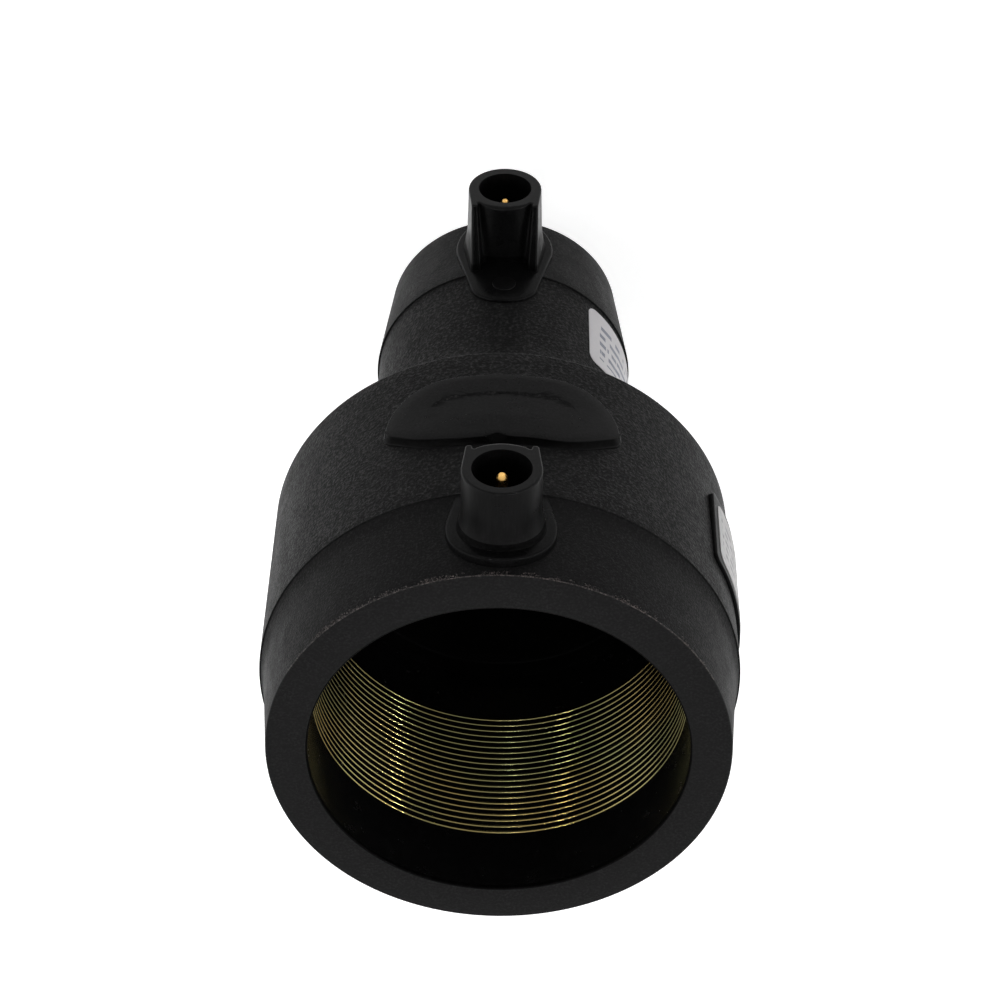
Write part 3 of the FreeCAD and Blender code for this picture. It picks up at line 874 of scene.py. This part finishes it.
def windingTree(values):
    tree, given = newTree("woundWire", "Leads", values, "Wire")

    def winding(which):
        turns, radius = given[which + " Turns"], given[which + " Radius"]
        spiral = made(tree, "GeometryNodeCurveSpiral", {
            "Resolution": given["Points Per Turn"], "Rotations": turns,
            "Start Radius": radius, "End Radius": radius,
            "Height": calculated(tree, "MULTIPLY", turns, given["Pitch"]), "Reverse": True,
        })
        return made(tree, "GeometryNodeTransform", {
            "Geometry": spiral, "Translation": combined(tree, z=given[which + " Foot"]),
            "Rotation": (0, 0, -math.pi / 2),
        })

    windings = joined(tree, winding("Large"), winding("Small"))
    wander = noisePattern(tree, None, wire["wanderScale"], 1.0, 0.5)
    centred = calculated(tree, "SUBTRACT", wander, 0.5)
    rise = calculated(tree, "MULTIPLY", centred, given["Unevenness"])
    settled = shifted(tree, windings, combined(tree, z=rise))
    path = joined(tree, given["Leads"], settled)
    drawn = swept(tree, path, given["Sides"], given["Wire Radius"])
    smooth = made(tree, "GeometryNodeSetShadeSmooth", {"Geometry": drawn, "Shade Smooth": True})
    return endTree(tree, smooth, given["Finish"])


def leadCurve(routes):
    curve = bpy.data.curves.new("leads", "CURVE")
    curve.dimensions = "3D"
    for route in routes:
        spline = curve.splines.new("POLY")
        spline.points.add(len(route) - 1)
        for point, (radius, height) in zip(spline.points, route):
            point.co = (0, -radius, height, 1)
    return newObject("leads", curve)


largeCoil = largeBore + wire["radius"] - wire["stand"]
smallCoil = smallBore + wire["radius"] - wire["stand"]
largeTop = mouthHeight - wire["largeCold"]
largeFoot = largeTop - wire["pitch"] * wire["largeTurns"]
smallFoot = wire["smallCold"]
smallTop = smallFoot + wire["pitch"] * wire["smallTurns"]
largeLead = largeTerminalHeight - wire["pinClearance"]
smallLead = smallTerminalHeight - wire["pinClearance"]
largeLink, smallLink = largeCoil + wire["linkDepth"], smallCoil + wire["linkDepth"]
leads = leadCurve([
    [
        (largeCoil + wire["leadReach"], largeLead), (largeCoil + wire["leadBend"], largeLead),
        (largeCoil, largeTop),
    ],
    [
        (largeCoil, largeFoot), (largeLink, largeFoot - wire["linkRunOut"]),
        (largeLink, mouthHeight - moulding["largeDepth"] + wire["linkStopGap"]),
        (smallLink, moulding["smallDepth"] + wire["linkStopGap"]),
        (smallLink, smallTop + wire["linkRunOut"]), (smallCoil, smallTop),
    ],
    [
        (smallCoil, smallFoot), (smallCoil + wire["leadBend"], smallLead),
        (smallCoil + wire["leadReach"], smallLead),
    ],
])
windingValues = {
    "Wire Radius": wire["radius"], "Sides": wire["sides"], "Points Per Turn": wire["pointsPerTurn"],
    "Pitch": wire["pitch"], "Unevenness": wire["unevenness"], "Finish": metals["heatingWire"],
    "Large Radius": largeCoil, "Large Foot": largeFoot, "Large Turns": wire["largeTurns"],
    "Small Radius": smallCoil, "Small Foot": smallFoot, "Small Turns": wire["smallTurns"],
}
wireMesh = runTree(leads, windingTree(windingValues), windingValues)
heatingWire = newObject("woundHeatingWire", wireMesh)
bpy.data.objects.remove(leads)
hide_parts("heating_wire")
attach(heatingWire, "root")
print("wire wound:", len(heatingWire.data.polygons), "faces")


# Contact pins with rounded tips
pins = {
    "largeContactPin": {
        "node": "terminal_pin_large", "terminal": "largeTerminal",
        "tip": 50.85 * mm, "foot": 34.0 * mm,
    },
    "smallContactPin": {
        "node": "terminal_pin_small", "terminal": "smallTerminal",
        "tip": 33.75 * mm, "foot": 18.3 * mm,
    },
}
pinShank = {
    "segments": 48, "rowSpacing": 1 * mm, "radius": 1.0 * mm, "rootRadius": 1.5 * mm,
    "rootRounding": 0.1 * mm, "neckRounding": 0.15 * mm, "tipLength": 0.7 * mm,
    "tipRadius": 0.5 * mm, "tipRounding": 0.3 * mm, "shoulderRounding": 0.4 * mm,
}


def pinShape(pin, terminal, size):
    root, radius, foot, tip = size["rootRadius"], size["radius"], pin["foot"], pin["tip"]
    floor = terminal["rim"] - cavity["depth"]
    return turnedSolid([
        (0, foot, 0), (root, foot, size["rootRounding"]), (root, floor, size["neckRounding"]),
        (radius, floor, 0), (radius, tip - size["tipLength"], size["shoulderRounding"]),
        (size["tipRadius"], tip, size["tipRounding"]), (0, tip, 0),
    ], size)


for name, pin in pins.items():
    terminal = terminals[pin["terminal"]]
    shape = pinShape(pin, terminal, pinShank)
    thing = addObject(name, shape, [metals["pinMetal"]], terminalPlacement(terminal))
    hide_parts(pin["node"])
    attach(thing, "root")
print("pins set:", len(pins))


# Labels: films with rounded corners, printed with plain bars. Row pitch and margin are in
# millimetres, as on the map.
# The paper tones are greyed as painted shade on the flanks, the large label's more.
labels = {
    "largeLabelFilm": {
        "node": "label_large", "radius": 41.55 * mm, "start": 64.2, "sweep": 57.6,
        "low": mouthHeight - 45.0 * mm, "length": 15.0 * mm, "corner": 2.0 * mm,
        "paperAndShade": (0.37, 0.362, 0.362), "ink": (0.13, 0.13, 0.14, 1), "rowPitch": 2.1, "margin": 1.5,
    },
    "smallLabelFilm": {
        "node": "label_small", "radius": 23.7 * mm, "start": 42.0, "sweep": 84.5,
        "low": 22.2 * mm, "length": 16.8 * mm, "corner": 2.0 * mm,
        "paperAndShade": (0.50, 0.485, 0.50), "ink": (0.12, 0.13, 0.175, 1), "rowPitch": 2.6, "margin": 2.6,
    },
}
film = {
    "points": 280, "thickness": 0.12 * mm, "edge": 0.03 * mm, "sink": 0.02 * mm,
    "map": "labelPlace", "bar": (0.28, 0.74), "dash": 0.62, "rowShift": 7.3,
    "dashEdge": (0.455, 0.475), "soilScale": 420, "soil": (0.35, 0.8, 0.0, 0.28),
    "soilShade": 0.72, "glossScale": 900, "roughness": (0.30, 0.44),
    "waveScale": 160, "waviness": 0.05 * mm,
}


def labelMaterial(name, label):
    material, tree, shader = newMaterial(name)
    place, number = objectPlace(tree), partial(calculated, tree)

    def inside(measure, length):
        fromMiddle = number("ABSOLUTE", number("SUBTRACT", measure, length / 2))
        return number("LESS_THAN", fromMiddle, length / 2 - label["margin"])

    spot = made(tree, "ShaderNodeUVMap", uv_map=film["map"])
    along, across, _ = treeNode(tree, "ShaderNodeSeparateXYZ", {"Vector": spot}).outputs
    row = number("DIVIDE", across, label["rowPitch"])
    part = number("FRACT", row)
    low, high = film["bar"]
    inRow = number("MULTIPLY", number("GREATER_THAN", part, low), number("LESS_THAN", part, high))
    shift = number("MULTIPLY", number("FLOOR", row), film["rowShift"])
    lookup = combined(tree, x=number("MULTIPLY", along, film["dash"]), y=shift)
    dashes = ramped(tree, noisePattern(tree, lookup, 1.0, 1.0), *film["dashEdge"])
    width, length = curvedWidth(label) / mm, label["length"] / mm
    printed = number("MULTIPLY", inside(along, width), inside(across, length))
    ink = number("MULTIPLY", number("MULTIPLY", inRow, dashes), printed)
    soil = ramped(tree, noisePattern(tree, place, film["soilScale"], 4.0, 0.6), *film["soil"])
    clean, soiled = label["paperAndShade"], [film["soilShade"] * tone for tone in label["paperAndShade"]]
    paperAndShade = blended(tree, soil, (*clean, 1), (*soiled, 1))
    gloss = noisePattern(tree, place, film["glossScale"])
    waves = noisePattern(tree, place, film["waveScale"], 2.0)
    fill(tree, shader, {
        "Base Color": blended(tree, ink, paperAndShade, label["ink"]),
        "Roughness": ramped(tree, gloss, *sharedPatterns["polish"], *film["roughness"]),
        "Normal": bumped(tree, waves, film["waviness"]),
    })
    return material


def labelShape(label):
    outline = patchOutline(label, label["low"], film["points"])
    (bottom, depth), *upper = bossRings(outline, film["sink"], film["edge"])
    rings = [(bottom, depth)] + [(flat, level + film["thickness"]) for flat, level in upper]
    return bossShape(rings, roundThePipe(label), "")


def mapLabel(mesh, label):
    layer = mesh.uv_layers.new(name=film["map"])
    for loop in mesh.loops:
        x, y, z = mesh.vertices[loop.vertex_index].co
        angle = math.atan2(-x, -y) - math.radians(label["start"])
        layer.data[loop.index].uv = (angle * label["radius"] / mm, (z - label["low"]) / mm)


for name, label in labels.items():
    thing = addObject(name, labelShape(label), [labelMaterial(name, label)])
    mapLabel(thing.data, label)
    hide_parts(label["node"])
    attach(thing, "root")
print("labels laid:", len(labels))


# Burr left by trimming along the outer edge of the large face, on the terminals' side
burr = {
    "Radius": 38.85 * mm, "Height": mouthHeight - 0.2 * mm, "Thickness": 0.11 * mm,
    "Start": math.radians(206), "Sweep": math.radians(128), "Points": 700, "Sides": 6,
    "Waver": 0.88 * mm, "Wander Scale": 330.0, "Crumbs": 3000, "Clump Scale": 260.0,
    "Clump Level": 0.5, "Scatter": 0.14 * mm, "Fall": 0.9 * mm,
    "Crumb Low": 0.04 * mm, "Crumb High": 0.15 * mm, "Seed": 7,
    "Finish": plastics[finishNumber["tornEdge"]],
}


def burrTree(values):
    tree, given = newTree("trimmedBurr", "Geometry", values, "Burr")
    number = partial(calculated, tree)

    def vector(operation, inputs):
        return made(tree, "ShaderNodeVectorMath", inputs, operation=operation)

    arc = made(tree, "GeometryNodeCurveArc", {
        "Resolution": given["Points"], "Radius": given["Radius"],
        "Start Angle": given["Start"], "Sweep Angle": given["Sweep"],
    })
    lift = combined(tree, z=given["Height"])
    lifted = made(tree, "GeometryNodeTransform", {"Geometry": arc, "Translation": lift})
    wander = noisePattern(tree, None, given["Wander Scale"], 4.0, 0.7)
    waver = number("MULTIPLY", number("SUBTRACT", wander, 0.5), given["Waver"])
    outward = vector("NORMALIZE", {0: made(tree, "GeometryNodeInputPosition")})
    push = vector("SCALE", {0: outward, "Scale": waver})
    ragged = shifted(tree, lifted, vector("MULTIPLY", {0: push, 1: (1, 1, 0)}))
    drawn = swept(tree, ragged, given["Sides"], given["Thickness"])
    spots = made(tree, "GeometryNodeCurveToPoints", {
        "Curve": ragged, "Count": given["Crumbs"],
    }, mode="COUNT")
    scatter = given["Scatter"]
    inward, down = number("MULTIPLY", scatter, -1.0), number("MULTIPLY", given["Fall"], -1.0)
    toss = made(tree, "FunctionNodeRandomValue", {
        0: combined(tree, x=inward, y=inward, z=down), 1: combined(tree, x=scatter, y=scatter),
        "Seed": given["Seed"],
    }, data_type="FLOAT_VECTOR")
    size = treeNode(tree, "FunctionNodeRandomValue", {
        2: given["Crumb Low"], 3: given["Crumb High"], "Seed": given["Seed"],
    }, data_type="FLOAT").outputs[1]
    clumps = noisePattern(tree, None, given["Clump Scale"], 2.0, 0.5)
    crumb = made(tree, "GeometryNodeMeshIcoSphere", {"Radius": 1.0, "Subdivisions": 1})
    crumbs = made(tree, "GeometryNodeInstanceOnPoints", {
        "Points": shifted(tree, spots, toss), "Instance": crumb, "Scale": size,
        "Selection": number("GREATER_THAN", clumps, given["Clump Level"]),
    })
    return endTree(tree, joined(tree, drawn, crumbs), given["Finish"])


burrBase = newObject("burrBase", bpy.data.meshes.new("burrBase"))
mouthBurr = newObject("mouthBurr", runTree(burrBase, burrTree(burr), burr))
bpy.data.objects.remove(burrBase)
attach(mouthBurr, "root")
print("burr laid:", len(mouthBurr.data.polygons), "faces")


# Floor, light and camera
studio = {
    "floorSize": 6.0, "floorColour": (0.82, 0.82, 0.82, 1), "floorRoughness": 0.9,
    "floorGlow": 0.68, "worldLight": 0.35, "white": (1, 1, 1, 1),
}
panel = {"aim": (0, 0, 0.07), "size": (0.5, 0.9), "power": 2.7}
lamps = {
    "leftPanel": {"place": (0.75, -0.10, 0.45), **panel},
    "rightPanel": {"place": (-0.75, -0.10, 0.45), **panel},
    "mouthPanel": {
        "place": (0.065, -0.25, 0.85), "aim": (0, 0, 0.12), "size": (0.03, 0.03), "power": 0.35,
    },
    "wireGlint": {
        "place": (-0.44, -0.12, 0.78), "aim": (0.0195, 0.0252, 0.098),
        "radius": 0.09, "cone": 3.0, "blend": 0.5, "power": 110,
    },
    "wireSheen": {
        "place": (0.26, -0.115, 0.90), "aim": (-0.0115, 0.0300, 0.102),
        "radius": 0.16, "cone": 3.2, "blend": 0.5, "power": 190,
    },
}
view = {
    "place": Vector((-0.017, -373.36, 519.52)) * mm,
    "pitch": 0.6811, "yaw": -0.0007, "roll": 0.0108, "lens": 117.0, "sensor": 36.0,
}


def seenRays(tree):
    rays = treeNode(tree, "ShaderNodeLightPath").outputs
    seen = calculated(tree, "MAXIMUM", rays["Is Camera Ray"], rays["Is Glossy Ray"])
    return calculated(tree, "MAXIMUM", seen, rays["Is Transmission Ray"])


def buildFloor(size):
    shape = bmesh.new()
    bmesh.ops.create_grid(shape, x_segments=1, y_segments=1, size=size["floorSize"] / 2)
    mesh = bpy.data.meshes.new("studioFloor")
    shape.to_mesh(mesh)
    shape.free()
    material, tree, shader = newMaterial("paleFloor")
    fill(tree, shader, {
        "Base Color": size["floorColour"], "Roughness": size["floorRoughness"],
        "Specular IOR Level": 0.0, "Emission Color": size["white"],
        "Emission Strength": calculated(tree, "MULTIPLY", seenRays(tree), size["floorGlow"]),
    })
    mesh.materials.append(material)
    newObject("studioFloor", mesh)


def buildWorld(size):
    world = bpy.data.worlds.new("whiteStudio")
    bpy.context.scene.world = world
    world.use_nodes = True
    tree = world.node_tree
    strength = ramped(tree, seenRays(tree), 0.0, 1.0, size["worldLight"], 1.0)
    fill(tree, tree.nodes["Background"], {"Color": size["white"], "Strength": strength})


def buildLamp(name, lamp):
    if "cone" in lamp:
        light = bpy.data.lights.new(name, "SPOT")
        light.shadow_soft_size, light.spot_size = lamp["radius"], math.radians(lamp["cone"])
        light.spot_blend = lamp["blend"]
    else:
        light = bpy.data.lights.new(name, "AREA")
        light.shape, light.size, light.size_y = "RECTANGLE", *lamp["size"]
    light.energy = lamp["power"]
    thing = newObject(name, light)
    thing.location = lamp["place"]
    toward = Vector(lamp["aim"]) - Vector(lamp["place"])
    thing.rotation_euler = toward.to_track_quat("-Z", "Y").to_euler()


def buildCamera(view):
    data = bpy.data.cameras.new("photoView")
    data.lens, data.sensor_width = view["lens"], view["sensor"]
    camera = newObject("photoView", data)
    placement = Matrix.Translation(view["place"])
    turns = (("Y", view["yaw"]), ("Z", math.pi), ("X", -view["pitch"]), ("Z", view["roll"]))
    for axis, angle in turns:
        placement @= Matrix.Rotation(angle, 4, axis)
    camera.matrix_world = placement
    bpy.context.scene.camera = camera


buildFloor(studio)
buildWorld(studio)
for name, lamp in lamps.items():
    buildLamp(name, lamp)
buildCamera(view)
bpy.context.scene.view_settings.view_transform = "Standard"
print("studio lit:", len(lamps), "lamps")
